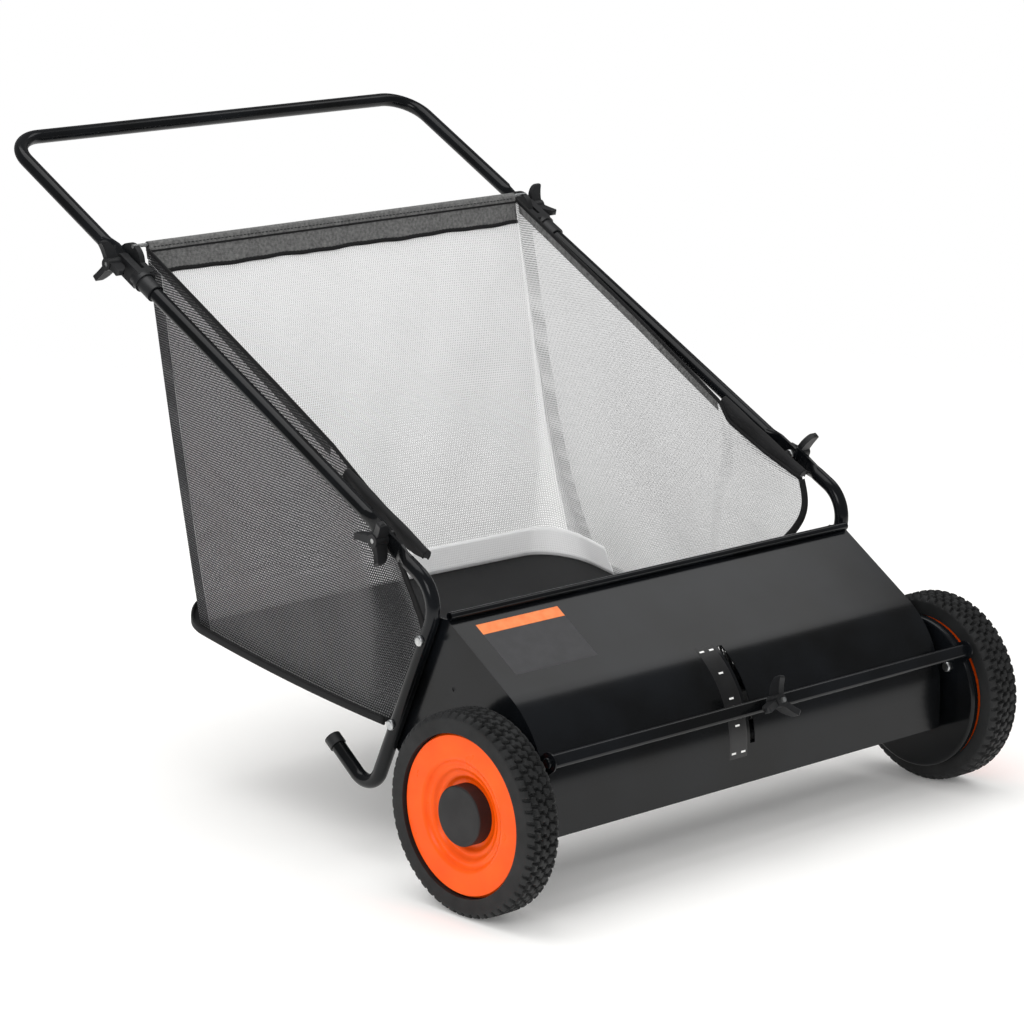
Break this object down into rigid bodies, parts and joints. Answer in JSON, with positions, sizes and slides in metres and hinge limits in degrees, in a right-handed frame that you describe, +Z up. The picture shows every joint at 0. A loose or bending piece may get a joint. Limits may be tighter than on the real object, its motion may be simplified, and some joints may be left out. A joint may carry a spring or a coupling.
{
  "type": "push lawn sweeper",
  "caption": "Push lawn sweeper: geared wheels spin a bristle brush under a curved cover, which throws leaves into a mesh bag hung from a folding tube handle.",
  "frame": {"origin": "on the floor under the middle of the whole machine's box", "axes": "+X to the right of someone facing along +Y, -Y to the front with the wheels and brush, +Z up"},
  "size_m": [0.84, 1.079, 0.7995],
  "materials": {
    "black_enamel": "gloss black enamel on steel",
    "zinc_steel": "bright zinc plate",
    "orange_rim": "moulded orange plastic",
    "tyre_rubber": "moulded tread rubber",
    "black_nylon": "moulded satin nylon",
    "bag_mesh": "coated open mesh, pale inside",
    "bag_canvas": "woven black polyester",
    "bristle": "black bristle filament"
  },
  "bodies": {
    "housing": {"cover": "black_enamel", "cover_rear_rail": "black_enamel", "left_side_plate": "black_enamel", "right_side_plate": "black_enamel", "left_frame_tube": "black_enamel", "right_frame_tube": "black_enamel", "foot_caps": "black_nylon", "frame_bolts": "zinc_steel", "tie_rod": "black_enamel", "lower_pivot_bolts": "zinc_steel", "shaft_bearings": "black_nylon"},
    "lower_handle": {"left_lower_handle_tube": "black_enamel", "right_lower_handle_tube": "black_enamel", "left_hinge_clamp": "black_nylon", "right_hinge_clamp": "black_nylon", "upper_pivot_bolts": "zinc_steel", "left_bag_panel": "bag_mesh", "right_bag_panel": "bag_mesh", "bag_back_panel": "bag_mesh", "bag_bottom_panel": "bag_canvas", "bag_hem": "bag_canvas", "bag_rear_rod": "zinc_steel", "bag_flaps": "bag_canvas", "flap_rods": "black_nylon"},
    "upper_handle": {"upper_handle": "black_enamel"},
    "height_adjuster": {"left_adjuster_plate": "black_enamel", "right_adjuster_plate": "black_enamel", "pivot_bushes": "black_nylon", "left_axle": "zinc_steel", "right_axle": "zinc_steel", "axle_clips": "zinc_steel", "height_bar": "black_enamel", "bar_end_bolts": "black_enamel", "adjuster_bolts": "zinc_steel", "height_bolt": "zinc_steel"},
    "left_wheel": {"left_tyre": "tyre_rubber", "left_rim": "orange_rim", "left_hub_cap": "black_nylon", "left_wheel_bush": "black_nylon"},
    "right_wheel": {"right_tyre": "tyre_rubber", "right_rim": "orange_rim", "right_hub_cap": "black_nylon", "right_wheel_bush": "black_nylon"},
    "brush": {"brush_shaft": "zinc_steel", "left_pinion": "black_nylon", "right_pinion": "black_nylon", "drive_pins": "zinc_steel", "brush_spiders": "black_nylon", "brush_rails": "black_enamel", "bristle_strip_1": "bristle", "bristle_strip_2": "bristle", "bristle_strip_3": "bristle", "bristle_strip_4": "bristle", "bristle_strip_5": "bristle", "bristle_strip_6": "bristle"},
    "left_lower_knob": {"left_lower_knob": "black_nylon"},
    "right_lower_knob": {"right_lower_knob": "black_nylon"},
    "left_upper_knob": {"left_upper_knob": "black_nylon"},
    "right_upper_knob": {"right_upper_knob": "black_nylon"},
    "height_knob": {"height_knob": "black_nylon"}
  },
  "joints": [
    {"name": "lower_handle_fold", "type": "hinge", "parent": "housing", "child": "lower_handle", "pos_m": [0, -0.21451, 0.396], "axis": [1, 0, 0], "range_deg": [0, 140]},
    {"name": "upper_handle_fold", "type": "hinge", "parent": "lower_handle", "child": "upper_handle", "pos_m": [0, 0.28659, 0.66132], "axis": [1, 0, 0], "range_deg": [0, 130]},
    {"name": "height_adjust", "type": "hinge", "parent": "housing", "child": "height_adjuster", "pos_m": [0, -0.36082, 0.13248], "axis": [1, 0, 0], "range_deg": [-38, 18]},
    {"name": "left_wheel_spin", "type": "hinge", "parent": "height_adjuster", "child": "left_wheel", "pos_m": [-0.396, -0.41951, 0.12], "axis": [1, 0, 0], "continuous": true},
    {"name": "right_wheel_spin", "type": "hinge", "parent": "height_adjuster", "child": "right_wheel", "pos_m": [0.396, -0.41951, 0.12], "axis": [1, 0, 0], "continuous": true},
    {"name": "brush_spin", "type": "hinge", "parent": "height_adjuster", "child": "brush", "pos_m": [0, -0.36082, 0.13248], "axis": [1, 0, 0], "continuous": true},
    {"name": "left_lower_knob_turn", "type": "hinge", "parent": "housing", "child": "left_lower_knob", "pos_m": [-0.36, -0.21451, 0.396], "axis": [1, 0, 0], "continuous": true},
    {"name": "right_lower_knob_turn", "type": "hinge", "parent": "housing", "child": "right_lower_knob", "pos_m": [0.36, -0.21451, 0.396], "axis": [1, 0, 0], "continuous": true},
    {"name": "left_upper_knob_turn", "type": "hinge", "parent": "lower_handle", "child": "left_upper_knob", "pos_m": [-0.36, 0.28659, 0.66132], "axis": [1, 0, 0], "continuous": true},
    {"name": "right_upper_knob_turn", "type": "hinge", "parent": "lower_handle", "child": "right_upper_knob", "pos_m": [0.36, 0.28659, 0.66132], "axis": [1, 0, 0], "continuous": true},
    {"name": "height_knob_turn", "type": "hinge", "parent": "height_adjuster", "child": "height_knob", "pos_m": [0, -0.50151, 0.1885], "axis": [0, -0.929, 0.37], "continuous": true}
  ],
  "couplings": [
    {"joint": "right_wheel_spin", "follows": "left_wheel_spin", "ratio": 1},
    {"joint": "brush_spin", "follows": "left_wheel_spin", "ratio": 4.3333}
  ]
}
